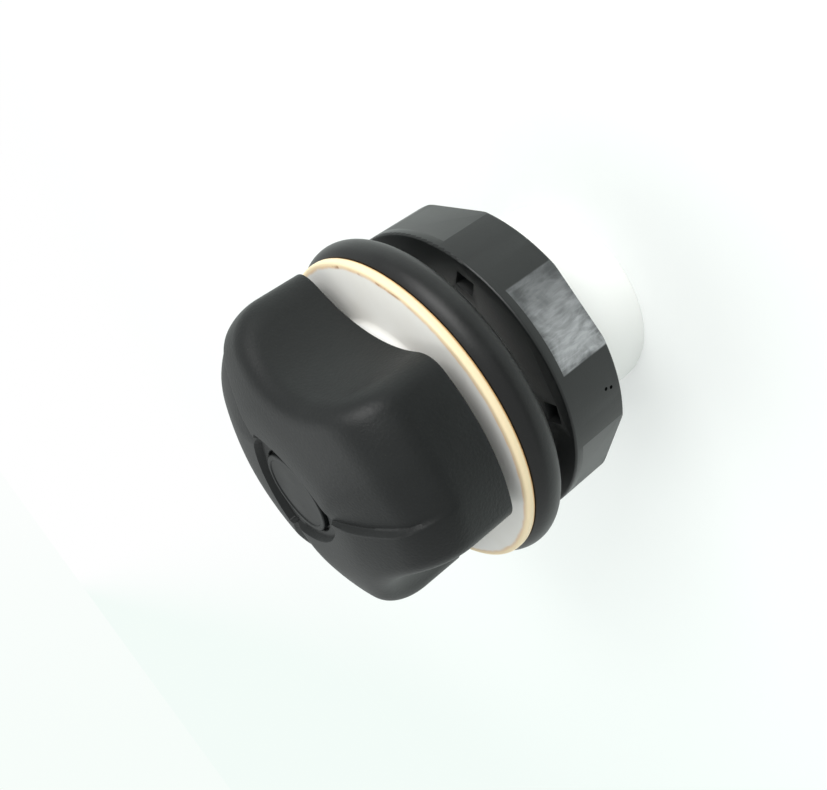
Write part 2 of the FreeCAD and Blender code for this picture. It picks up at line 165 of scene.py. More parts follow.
class Shader:
    """A material's node tree on a Principled shader, read on Object coordinates."""

    def __init__(self, name: str) -> None:
        """Makes an empty material.

        Args:
            name: the material's name.
        """
        self.material = bpy.data.materials.new(name)
        self.material.use_nodes = True
        self.tree = self.material.node_tree
        self.shader = self.tree.nodes["Principled BSDF"]
        self.place = self.add("ShaderNodeTexCoord").outputs["Object"]
        split = self.add("ShaderNodeSeparateXYZ", Vector=self.place)
        self.x = Signal(self.tree, split.outputs["X"])
        self.y = Signal(self.tree, split.outputs["Y"])
        self.z = Signal(self.tree, split.outputs["Z"])

    def add(self, kind: str, settings: Optional[dict] = None, **sockets: object) -> bpy.types.Node:
        """Adds a node.

        Args:
            kind: the node's type.
            settings: attributes of the node, set first.
            sockets: values, signals or output sockets for its inputs, by name, with _ for a space.

        Returns:
            The node.
        """
        node = self.tree.nodes.new(kind)
        for key, value in (settings or {}).items():
            setattr(node, key, value)
        for key, value in sockets.items():
            self.feed(node.inputs[key.replace("_", " ")], value)
        return node

    def feed(self, target: bpy.types.NodeSocket, value: object) -> None:
        """Gives an input socket a value.

        Args:
            target: the input socket.
            value: a number, a colour, a signal or an output socket.
        """
        if isinstance(value, Signal):
            self.tree.links.new(value.socket, target)
        elif isinstance(value, bpy.types.NodeSocket):
            self.tree.links.new(value, target)
        elif target.type == "RGBA" and len(value) == 3:
            target.default_value = (*value, 1.0)
        else:
            target.default_value = value

    def moved(self, turn: float, stretch: Triple) -> bpy.types.NodeSocket:
        """The place, turned about the axis and stretched.

        Args:
            turn: the turn in degrees.
            stretch: the scale of each axis.

        Returns:
            The socket with the new place.
        """
        node = self.add("ShaderNodeMapping", Vector=self.place, Scale=stretch)
        node.inputs["Rotation"].default_value = (0.0, 0.0, math.radians(turn))
        return node.outputs["Vector"]

    def noise(self, size: float, detail: float = 2.0, rough: float = 0.5,
              place: Optional[bpy.types.NodeSocket] = None, twist: float = 0.0) -> Signal:
        """Soft noise between 0 and 1 with features of a real size.

        Args:
            size: the size of a feature in metres.
            detail: the number of finer layers.
            rough: how strong the finer layers are.
            place: where it is read, the object's own place if not given.
            twist: how far it is distorted.

        Returns:
            The noise as a signal.
        """
        node = self.add("ShaderNodeTexNoise", Vector=place or self.place, Scale=1.0 / size,
                        Detail=detail, Roughness=rough, Distortion=twist)
        return Signal(self.tree, node.outputs[0])

    def cells(self, size: float) -> Signal:
        """The distance to the nearest of scattered points, in units of their spacing."""
        node = self.add("ShaderNodeTexVoronoi", Vector=self.place, Scale=1.0 / size)
        return Signal(self.tree, node.outputs["Distance"])

    def radius(self) -> Signal:
        """The distance from the axis."""
        return (self.x * self.x + self.y * self.y).apply("SQRT")

    def angle(self, zero: float) -> Signal:
        """The angle round the axis in degrees, from -180 to 180.

        Args:
            zero: the direction that counts as 0, in degrees.

        Returns:
            The angle as a signal.
        """
        start = math.radians(zero)
        along = self.x * math.cos(start) + self.y * math.sin(start)
        across = self.y * math.cos(start) - self.x * math.sin(start)
        return across.apply("ARCTAN2", along) * math.degrees(1.0)

    def mix(self, factor: Value, first: object, second: object) -> bpy.types.NodeSocket:
        """A colour between two.

        Args:
            factor: 0 for the first and 1 for the second.
            first: a colour or a socket.
            second: a colour or a socket.

        Returns:
            The mixed colour's socket.
        """
        node = self.add("ShaderNodeMix", {"data_type": "RGBA", "clamp_factor": True})
        self.feed(node.inputs["Factor"], factor)
        colour_inputs = [socket for socket in node.inputs if socket.type == "RGBA"]
        self.feed(colour_inputs[0], first)
        self.feed(colour_inputs[1], second)
        return next(socket for socket in node.outputs if socket.type == "RGBA")

    def relief(self, height: Signal, depth: float, strength: float = 1.0) -> None:
        """Feeds the shader's normal from a height.

        Args:
            height: the height between 0 and 1.
            depth: the real depth in metres that 1 stands for.
            strength: how far the normal follows it.
        """
        node = self.add("ShaderNodeBump", Height=height, Distance=depth, Strength=strength)
        self.feed(self.shader.inputs["Normal"], node.outputs["Normal"])

    def finish(self, colour: object, roughness: Value, **others: object) -> None:
        """Sets the shader's colour, roughness and further sockets.

        Args:
            colour: a colour or a socket.
            roughness: a number or a signal.
            others: values for further sockets by name, with _ for a space.
        """
        self.feed(self.shader.inputs["Base Color"], colour)
        self.feed(self.shader.inputs["Roughness"], roughness)
        for key, value in others.items():
            self.feed(self.shader.inputs[key.replace("_", " ")], value)


# Finishes

class Finish:
    """A finish that is painted on a material of its own."""

    def paint(self, shader: Shader) -> None:
        """Paints the finish on an empty shader."""
        raise NotImplementedError

    def build(self, name: str) -> bpy.types.Material:
        """Makes the finish's material.

        Args:
            name: its name.

        Returns:
            The material.
        """
        shader = Shader(name)
        self.paint(shader)
        return shader.material


@dataclass(frozen=True)
class GrainedBlack(Finish):
    """Black moulded plastic with a fine eroded grain, as on the cap."""

    base: Colour = (0.0060, 0.0068, 0.0070)
    worn: Colour = (0.0125, 0.0138, 0.0138)
    blotch: float = 0.018
    grain: float = 0.00055
    grain_depth: float = 0.00008
    pit_spacing: float = 1.6
    roughness: float = 0.40
    specular: float = 0.32

    def paint(self, shader: Shader) -> None:
        """Paints the finish.

        Args:
            shader: an empty shader.
        """
        cloud = shader.noise(self.blotch, detail=3.0)
        speckle = shader.noise(self.grain, detail=2.0, rough=0.6)
        pits = shader.cells(self.grain * self.pit_spacing)
        colour = shader.mix(cloud.between(0.35, 0.75) * 0.6 + speckle.between(0.5, 0.8) * 0.25,
                            self.base, self.worn)
        shader.relief(speckle * 0.6 + pits * 0.4, self.grain_depth, 0.8)
        roughness = self.roughness + cloud * 0.08 + speckle * 0.05
        shader.finish(colour, roughness, Specular_IOR_Level=self.specular)


@dataclass(frozen=True)
class SmoothBlack(Finish):
    """Plain smooth black plastic, as on the badge plate."""

    base: Colour = (0.0070, 0.0080, 0.0082)
    worn: Colour = (0.016, 0.0175, 0.018)
    blotch: float = 0.006
    rub_width: float = 0.0016
    grain: float = 0.0007
    grain_depth: float = 0.00003
    roughness: float = 0.36
    specular: float = 0.2

    def paint(self, shader: Shader) -> None:
        """Paints the finish.

        Args:
            shader: an empty shader.
        """
        cloud = shader.noise(self.blotch, detail=4.0)
        rub = shader.noise(self.rub_width, detail=3.0, place=shader.moved(20.0, (1.0, 6.0, 1.0)))
        colour = shader.mix(rub.between(0.5, 0.8) * 0.5, self.base, self.worn)
        shader.relief(shader.noise(self.grain, detail=2.0), self.grain_depth, 0.5)
        shader.finish(colour, self.roughness + cloud * 0.12, Specular_IOR_Level=self.specular)


@dataclass(frozen=True)
class BlackRubber(Finish):
    """Black rubber with faint dusty patches, as on the sealing ring."""

    base: Colour = (0.0065, 0.0065, 0.0068)
    dusty: Colour = (0.017, 0.018, 0.018)
    blotch: float = 0.009
    grain: float = 0.0006
    grain_depth: float = 0.00004
    roughness: float = 0.34
    specular: float = 0.36

    def paint(self, shader: Shader) -> None:
        """Paints the finish.

        Args:
            shader: an empty shader.
        """
        cloud = shader.noise(self.blotch, detail=4.0)
        fine = shader.noise(self.grain, detail=2.0)
        colour = shader.mix(cloud.between(0.45, 0.8) * 0.55 + fine.between(0.55, 0.8) * 0.2,
                            self.base, self.dusty)
        shader.relief(fine, self.grain_depth, 0.6)
        shader.finish(colour, self.roughness + cloud * 0.12, Specular_IOR_Level=self.specular)


@dataclass(frozen=True)
class ScuffedBlack(Finish):
    """Semi-gloss black plastic with one worn grey flat, brightened by painted sheen, and two
    specks, as on the lock nut.
    """

    base: Colour = (0.0070, 0.0080, 0.0080)
    rubbed: Colour = (0.050, 0.053, 0.055)
    # The flat's pale grey is real scuffing, made brighter as a painted sheen.
    scuff_and_sheen: Colour = (0.34, 0.35, 0.36)
    speck: Colour = (0.001, 0.001, 0.001)
    specular: float = 0.5
    roughness: float = 0.34
    blotch: float = 0.012
    grain: float = 0.0005
    grain_depth: float = 0.00008
    streak_width: float = 0.0009
    blot: float = 0.009
    flat_distance: float = 0.0367
    flat_skin: tuple[float, float] = (0.00022, 0.00008)
    flat_top: float = 0.0372
    flat_half_width: float = 0.0106
    flat_blur: float = 0.0002
    # painted sheen: the flat is brightest towards -x
    sheen_range: tuple[float, float] = (-0.010, 0.007)
    specks: tuple[Triple, ...] = ((-0.0188, -0.0333, 0.028), (-0.0192, -0.033, 0.0265))
    speck_radius: float = 0.0005

    def paint(self, shader: Shader) -> None:
        """Paints the finish.

        Args:
            shader: an empty shader.
        """
        cloud = shader.noise(self.blotch, detail=3.0)
        fine = shader.noise(self.grain, detail=2.0)
        streaks = shader.noise(self.streak_width, detail=3.0, rough=0.6, twist=0.3,
                               place=shader.moved(0.0, (1.0, 1.0, 0.22)))
        blots = shader.noise(self.blot, detail=4.0, rough=0.55, twist=0.8)
        blur = self.flat_blur
        flat = abs(shader.y + self.flat_distance).between(*self.flat_skin)
        flat = flat * shader.z.between(self.flat_top + blur, self.flat_top - blur)
        flat = flat * abs(shader.x).between(self.flat_half_width + blur,
                                            self.flat_half_width - blur)
        # The blots and streaks are real scuffing; their strength towards -x is painted sheen.
        wear_and_sheen = blots.between(0.36, 0.66) * 0.75 + streaks.between(0.35, 0.75) * 0.4
        wear_and_sheen = wear_and_sheen.apply("MINIMUM", 1.0)
        # painted sheen: full towards -x, about a third of it towards +x
        wear_and_sheen = wear_and_sheen * ((shader.x * -1.0).between(*self.sheen_range) * 0.65 + 0.35)
        worn = shader.mix(wear_and_sheen, self.rubbed, self.scuff_and_sheen)
        colour = shader.mix(flat, self.base, worn)
        shine = shader.x * 0.0 + self.specular
        for east, north, height in self.specks:
            across, along, up = shader.x - east, shader.y - north, shader.z - height
            away = (across * across + along * along + up * up).apply("SQRT")
            dot = away.between(self.speck_radius, 0.6 * self.speck_radius)
            colour = shader.mix(dot, colour, self.speck)
            shine = (shine - dot).apply("MAXIMUM", 0.0)
        shader.relief(fine * 0.4 + streaks * flat * 0.6, self.grain_depth, 0.6)
        roughness = self.roughness + cloud * 0.1 + flat * 0.14
        shader.finish(colour, roughness, Specular_IOR_Level=shine)


@dataclass(frozen=True)
class NeckPlastic(Finish):
    """Off-white moulded plastic whose flange edge has yellowed to cream and whose flange is greyed
    by painted shade.
    """

    # The flange's colour: its own off-white tone, darkened by painted shade from the cap.
    face_tone_and_shade: Colour = (0.80, 0.77, 0.71)
    pale: Colour = (0.92, 0.915, 0.90)
    cream: Colour = (0.97, 0.80, 0.53)
    amber: Colour = (0.80, 0.46, 0.18)
    stain: Colour = (0.36, 0.15, 0.05)
    flange_radius: float = 0.040
    flange_base: float = 0.054
    flange_top: float = 0.0562
    edge_width: float = 0.0016
    edge_full: float = 0.0009
    line_inset: float = 0.0013
    line_width: float = 0.0006
    stain_angle: float = -35.0
    stain_spread: tuple[float, float] = (32.0, 12.0)
    blotch: float = 0.015
    ripple: float = 0.003
    streak: float = 0.004
    grain: float = 0.0012
    grain_depth: float = 0.00004
    roughness: float = 0.38
    specular: float = 0.45

    def paint(self, shader: Shader) -> None:
        """Paints the finish.

        Args:
            shader: an empty shader.
        """
        cloud = shader.noise(self.blotch, detail=4.0)
        ripple = shader.noise(self.ripple, detail=3.0)
        at_flange = shader.z.between(self.flange_base - 0.001, self.flange_base)
        at_flange = at_flange * shader.z.between(self.flange_top + 0.0012, self.flange_top + 0.0004)
        reach = shader.radius() + (ripple - 0.5) * 0.0006
        edge = reach.between(self.flange_radius - self.edge_width,
                             self.flange_radius - self.edge_full) * at_flange
        line = reach.bump_at(self.flange_radius - self.line_inset, self.line_width) * at_flange
        # painted shade: the flange takes the greyer colour, the pipe and collar the pale one
        body = shader.mix(at_flange, self.pale, shader.mix(cloud, self.face_tone_and_shade, self.pale))
        lower = shader.z.between(self.flange_base + 0.0009, self.flange_base + 0.0003)
        colour = shader.mix(edge, body, shader.mix(lower, self.cream, self.amber))
        colour = shader.mix(line * (0.15 + ripple * 0.6), colour, self.amber)
        streak = shader.noise(self.streak, detail=4.0, place=shader.moved(0.0, (1.0, 1.0, 6.0)))
        patch = abs(shader.angle(self.stain_angle)).between(*self.stain_spread) * line
        colour = shader.mix(patch * streak.between(0.45, 0.62), colour, self.stain)
        shader.relief(shader.noise(self.grain, detail=2.0), self.grain_depth, 0.4)
        shader.finish(colour, self.roughness + cloud * 0.12, Specular_IOR_Level=self.specular)


# Mesh building

@dataclass(frozen=True)
class Corner:
    """A corner of a turned outline, in millimetres, with the radius that rounds it."""

    radius: float
    height: float
    rounding: float = 0.0


def spin_round(mesh: bmesh.types.BMesh, steps: int, weld: float = WELD) -> None:
    """Spins a mesh's edges once round the axis and welds the seam and the points on the axis."""
    bmesh.ops.spin(mesh, geom=mesh.verts[:] + mesh.edges[:], cent=CENTRE, axis=UP, angle=TAU,
                   steps=steps, use_merge=True, use_duplicate=False)
    bmesh.ops.remove_doubles(mesh, verts=mesh.verts[:], dist=weld)


def round_edges(mesh: bmesh.types.BMesh, edges: Sequence[bmesh.types.BMEdge], size: float) -> None:
    """Rounds edges by a size in millimetres."""
    bmesh.ops.bevel(mesh, geom=edges, affect="EDGES", offset=size * MM, offset_type="OFFSET",
                    segments=2, profile=0.5, material=-1, clamp_overlap=True)


def turn_outline(corners: Sequence[Corner], steps: int, closed: bool = True) -> bmesh.types.BMesh:
    """Spins an outline with rounded corners about the axis.

    Args:
        corners: the outline in order.
        steps: the number of steps round.
        closed: whether the last corner joins the first.

    Returns:
        The turned mesh in metres.
    """
    mesh = bmesh.new()
    points = [mesh.verts.new((c.radius * MM, 0.0, c.height * MM)) for c in corners]
    pairs = list(zip(points, points[1:]))
    if closed:
        pairs.append((points[-1], points[0]))
    for first, second in pairs:
        mesh.edges.new((first, second))
    for size in sorted({c.rounding for c in corners if c.rounding > 0.0}):
        round_off = [p for p, c in zip(points, corners) if c.rounding == size]
        bmesh.ops.bevel(mesh, geom=round_off, affect="VERTICES", offset=size * MM,
                        offset_type="OFFSET", segments=FILLET_STEPS, profile=0.5, material=-1)
    spin_round(mesh, steps)
    bmesh.ops.recalc_face_normals(mesh, faces=mesh.faces[:])
    return mesh


@dataclass(frozen=True)
class Thread:
    """A helical ridge in millimetres, with the angle in degrees at which it starts."""

    root: float
    crest: float
    pitch: float
    low: float
    high: float
    root_width: float
    crest_width: float
    start_angle: float = 0.0
    steps_per_turn: int = 72

    def build(self) -> bmesh.types.BMesh:
        """Sweeps the ridge's section along its helix.

        Returns:
            The closed ridge in metres.
        """
        mesh = bmesh.new()
        turns = (self.high - self.low - self.root_width) / self.pitch
        middle = self.low + self.root_width / 2.0
        half_root = self.root_width / 2.0
        half_crest = self.crest_width / 2.0
        section = [(self.root, -half_root), (self.crest, -half_crest),
                   (self.crest, half_crest), (self.root, half_root)]
        corners = [mesh.verts.new((r * MM, 0.0, (middle + z) * MM)) for r, z in section]
        start = mesh.faces.new(corners)
        steps = int(turns * self.steps_per_turn)
        rise = self.pitch * MM / self.steps_per_turn
        bmesh.ops.spin(mesh, geom=[start], cent=CENTRE, axis=UP, dvec=(0.0, 0.0, rise),
                       angle=TAU * steps / self.steps_per_turn, steps=steps, use_duplicate=False)
        bmesh.ops.rotate(mesh, verts=mesh.verts[:], cent=CENTRE,
                         matrix=Matrix.Rotation(math.radians(self.start_angle), 3, "Z"))
        bmesh.ops.remove_doubles(mesh, verts=mesh.verts[:], dist=WELD / 2.0)
        bmesh.ops.recalc_face_normals(mesh, faces=mesh.faces[:])
        return mesh


def join_meshes(parts: Iterable[bmesh.types.BMesh]) -> bmesh.types.BMesh:
    """Puts several meshes into one and frees them.

    Args:
        parts: the meshes.

    Returns:
        The joined mesh.
    """
    joined = bmesh.new()
    for part in parts:
        holder = bpy.data.meshes.new("holder")
        part.to_mesh(holder)
        part.free()
        joined.from_mesh(holder)
        bpy.data.meshes.remove(holder)
    return joined


def add_object(name: str, data: bpy.types.ID) -> bpy.types.Object:
    """Adds an object at the origin to the scene.

    Args:
        name: its name.
        data: its mesh, lamp or camera.

    Returns:
        The object.
    """
    made = bpy.data.objects.new(name, data)
    bpy.context.scene.collection.objects.link(made)
    return made


def make_piece(name: str, mesh: bmesh.types.BMesh, body: Body, slot: str, finish: Finish,
               stands_for: str, shading: Shading = Shading.MOULDED) -> None:
    """Turns a mesh into a piece that rides on a body in place of a CAD node.

    Args:
        name: the piece's name.
        mesh: its mesh, in metres and in place; it is freed.
        body: the body that it rides on.
        slot: the record's material slot, which also names its material.
        finish: its finish.
        stands_for: the CAD node that it replaces.
        shading: how its faces are shaded.
    """
    data = bpy.data.meshes.new(name)
    mesh.to_mesh(data)
    mesh.free()
    data.shade_smooth()
    data.set_sharp_from_angle(angle=math.radians(shading.value))
    data.materials.append(finish.build(slot))
    piece = add_object(name, data)
    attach(piece, body.value)
    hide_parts(stands_for)
    LOG.info("%s: %d faces on %s", name, len(data.polygons), body.value)


def copy_of_node(node: str) -> bmesh.types.BMesh:
    """A CAD node's mesh as a clean copy: doubles merged and flat faces joined.

    Args:
        node: the node's name.

    Returns:
        The copy.
    """
    mesh = bmesh.new()
    mesh.from_mesh(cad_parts[node].data)
    bmesh.ops.remove_doubles(mesh, verts=mesh.verts[:], dist=WELD)
    bmesh.ops.dissolve_limit(mesh, angle_limit=math.radians(0.5), verts=mesh.verts[:],
                             edges=mesh.edges[:], use_dissolve_boundaries=False)
    return mesh


# Neck: pipe, threaded barrel, flange and collar

@dataclass
class Neck:
    """The white moulding that everything else is carried by; sizes in millimetres."""

    bore: float = 22.5
    pipe: float = 25.5
    barrel_start: float = 19.0
    barrel_root: float = 26.9
    barrel_crest: float = 28.0
    pitch: float = 4.0
    flange_base: float = 54.0
    flange_top: float = 56.2
    flange_radius: float = 40.0
    collar: float = 25.4
    collar_top: float = 60.0
    socket: float = 23.2
    socket_floor: float = 40.0
    socket_pitch: float = 6.0
    socket_ridge: float = 0.25
    overlap: float = 0.2
    finish: NeckPlastic = field(default_factory=NeckPlastic)

    def outline(self) -> list[Corner]:
        """The turned outline.

        Returns:
            Its corners, from the bore's lower edge round to the socket's floor.
        """
        return [
            Corner(self.bore, 0.0, 0.5),
            Corner(self.pipe, 0.0, 0.6),
            Corner(self.pipe, self.barrel_start - 0.9),
            Corner(self.barrel_root, self.barrel_start + 0.5),
            Corner(self.barrel_root, self.flange_base),
            Corner(self.flange_radius, self.flange_base, 0.7),
            Corner(self.flange_radius, self.flange_top, 0.7),
            Corner(self.collar, self.flange_top, 1.0),
            Corner(self.collar, self.collar_top, 0.3),
            Corner(self.socket, self.collar_top, 0.3),
            Corner(self.socket, self.socket_floor, 0.4),
            Corner(self.bore, self.socket_floor),
        ]

    def build(self) -> None:
        """Builds the moulding with its outside and inside threads."""
        outside = Thread(root=self.barrel_root - self.overlap, crest=self.barrel_crest,
                         pitch=self.pitch, low=self.barrel_start + 0.4, high=self.flange_base,
                         root_width=2.5, crest_width=1.1)
        inside = Thread(root=self.socket + self.overlap, crest=self.socket - self.socket_ridge,
                        pitch=self.socket_pitch, low=self.socket_floor + 0.6,
                        high=self.collar_top - 0.8, root_width=2.2, crest_width=1.2,
                        start_angle=180.0)
        body = turn_outline(self.outline(), steps=180)
        make_piece("neck_moulding", join_meshes([body, outside.build(), inside.build()]), Body.NECK,
                   "neck_plastic", self.finish, stands_for="neck_body")


# Sealing ring

@dataclass
class SealingRing:
    """The thick rubber ring under the flange; sizes in millimetres."""

    bore: float = 28.4
    edge: float = 40.0
    bulge: float = 1.8
    low: float = 46.4
    high: float = 54.0
    rim_points: int = 13
    finish: BlackRubber = field(default_factory=BlackRubber)

    def outline(self) -> list[Corner]:
        """The ring's section.

        Returns:
            Its corners, with the bulging rim as an arc.
        """
        middle = (self.low + self.high) / 2.0
        half = (self.high - self.low) / 2.0
        arc = (half ** 2 + self.bulge ** 2) / (2.0 * self.bulge)
        centre = self.edge + self.bulge - arc
        sweep = math.asin(half / arc)
        rim = [Corner(centre + arc * math.cos(a), middle + arc * math.sin(a))
               for a in np.linspace(-sweep, sweep, self.rim_points)]
        return [Corner(self.bore, self.low, 0.3), *rim, Corner(self.bore, self.high, 0.3)]

    def build(self) -> None:
        """Builds the ring."""
        make_piece("sealing_ring_rubber", turn_outline(self.outline(), steps=180), Body.RING,
                   "ring_rubber", self.finish, stands_for="sealing_ring")


# Lock nut

@dataclass
class LockNut:
    """The six-sided nut; its shape is the CAD node's, with its edges eased."""

    edge_round: float = 0.35
    edge_angle: float = 16.0
    finish: ScuffedBlack = field(default_factory=ScuffedBlack)

    def build(self) -> None:
        """Builds the nut."""
        mesh = copy_of_node("lock_nut")
        limit = math.radians(self.edge_angle)
        sharp = [e for e in mesh.edges if e.is_manifold and e.calc_face_angle(0.0) > limit]
        round_edges(mesh, sharp, self.edge_round)
        make_piece("lock_nut_moulding", mesh, Body.NUT, "nut_plastic", self.finish,
                   stands_for="lock_nut")


# Cap: knob, badge and seal

def soft_max(first: np.ndarray, second: np.ndarray, blend: float) -> np.ndarray:
    """The larger of two values, rounded where they are nearly equal.

    Args:
        first: the first values.
        second: the second values.
        blend: how near they are where the rounding starts.

    Returns:
        The rounded maximum.
    """
    overlap = np.maximum(blend - np.abs(first - second), 0.0) / blend
    return np.maximum(first, second) + overlap ** 2 * blend / 4.0


@dataclass(frozen=True)
class KnobForm:
    """The knob's outside as distances from its surface; sizes in millimetres and degrees."""

    skirt: float = 60.4
    side: float = 39.9
    crown: float = 80.0
    apex: float = 90.4
    flat: float = 88.2
    flat_blend: float = 1.0
    shoulder: float = 14.0
    flute_radius: float = 35.5
    flute_depth: float = 11.5
    flute_angle: float = -46.2
    rim_blend: float = 4.2
    crease_angle: float = -121.0
    crease_step: float = 2.4
    drift_radii: tuple[float, ...] = (10.0, 16.0, 33.0, 40.0)
    drift_turns: tuple[float, ...] = (-6.0, -4.5, 0.0, 3.5)
    swale_depth: float = 2.0
    swale_lift: float = 0.15
    swale_blend: float = 0.3
    fade_turns: tuple[float, ...] = (0.0, 12.0, 24.0, 36.0)
    fade_shares: tuple[float, ...] = (1.0, 0.6, 0.25, 0.0)
    recess_angle: float = -126.0
    recess_corner: float = 16.0
    recess_side: float = 12.4
    ceiling_blend: float = 1.0
    nearest: float = 3.0
    farthest: float = 60.0
    halvings: int = 32
    lobes: int = 3

    def outline(self, radius: np.ndarray, height: np.ndarray) -> np.ndarray:
        """The distance from the plain domed outline with its rounded shoulder.

        Args:
            radius: the points' distances from the axis.
            height: their heights.

        Returns:
            The distances, negative inside.
        """
        above = height - self.apex + self.crown
        hub = self.side - self.shoulder
        hub_above = math.sqrt((self.crown - self.shoulder) ** 2 - hub ** 2)
        ball = np.hypot(radius, above) - self.crown
        corner = np.hypot(radius - hub, above - hub_above) - self.shoulder
        rounded = np.where(above < hub_above, radius - self.side, corner)
        return np.where(radius * hub_above < above * hub, ball, rounded)

    def drift(self, radius: np.ndarray) -> np.ndarray:
        """How far the creases have swung round at a radius, in degrees."""
        return np.interp(radius, self.drift_radii, self.drift_turns)

    def swale_share(self, turn: np.ndarray, radius: np.ndarray) -> np.ndarray:
        """How far the swales are down.

        Args:
            turn: the points' directions round the axis, in radians.
            radius: their distances from the axis.

        Returns:
            Shares, from 1 just past a crease to 0 where the swale has faded out.
        """
        past = np.degrees(turn) - self.crease_angle - self.drift(radius)
        past = np.mod(past, 360.0 / self.lobes)
        ramp = np.clip(past / self.crease_step, 0.0, 1.0)
        fade = np.interp(past, self.fade_turns, self.fade_shares)
        return ramp ** 2 * (3.0 - 2.0 * ramp) * fade

    def distance(self, points: np.ndarray) -> np.ndarray:
        """How far points lie outside the knob, negative inside it.

        Args:
            points: one point a row.

        Returns:
            The distances.
        """
        east, north, height = points.T
        radius = np.hypot(east, north)
        turn = np.arctan2(north, east)
        drop = self.swale_share(turn, radius) * self.swale_depth - self.swale_lift
        dome = soft_max(self.outline(radius, height), height - self.flat, self.flat_blend)
        swale = self.outline(radius - self.swale_lift, height + drop)
        dome = soft_max(dome, swale, self.swale_blend)
        away = self.side - self.flute_depth + self.flute_radius
        for index in range(self.lobes):
            way = math.radians(self.flute_angle + 360.0 / self.lobes * index)
            gap = np.hypot(east - away * math.cos(way), north - away * math.sin(way))
            dome = soft_max(dome, self.flute_radius - gap, self.rim_blend)
        return dome

    def reach(self, ways: np.ndarray, inset: float, ceiling: Optional[float]) -> np.ndarray:
        """The points of the surface in some directions from the middle of the skirt.

        Args:
            ways: one unit direction a row.
            inset: how far inside the surface the points lie.
            ceiling: the height that they stay under, if any.

        Returns:
            One point a row.
        """
        origin = np.array((0.0, 0.0, self.skirt))
        near = np.full(len(ways), self.nearest)
        far = np.full(len(ways), self.farthest)
        for _ in range(self.halvings):
            middle = (near + far) / 2.0
            points = origin + ways * middle[:, None]
            distance = self.distance(points) + inset
            if ceiling is not None:
                distance = soft_max(distance, points[:, 2] - ceiling, self.ceiling_blend)
            near = np.where(distance < 0.0, middle, near)
            far = np.where(distance < 0.0, far, middle)
        return origin + ways * near[:, None]

    def recess_rim(self, turn: np.ndarray) -> np.ndarray:
        """The radius of the three-cornered recess.

        Args:
            turn: directions round the axis, in radians.

        Returns:
            The radius in each direction.
        """
        half = self.recess_corner * math.sin(math.pi / self.lobes)
        rise = self.recess_side - self.recess_corner * math.cos(math.pi / self.lobes)
        arc = (half ** 2 + rise ** 2) / (2.0 * rise)
        back = arc - self.recess_side
        sector = TAU / self.lobes
        lean = np.mod(turn - math.radians(self.recess_angle), sector) - sector / 2.0
        return np.sqrt(arc ** 2 - (back * np.sin(lean)) ** 2) - back * np.cos(lean)


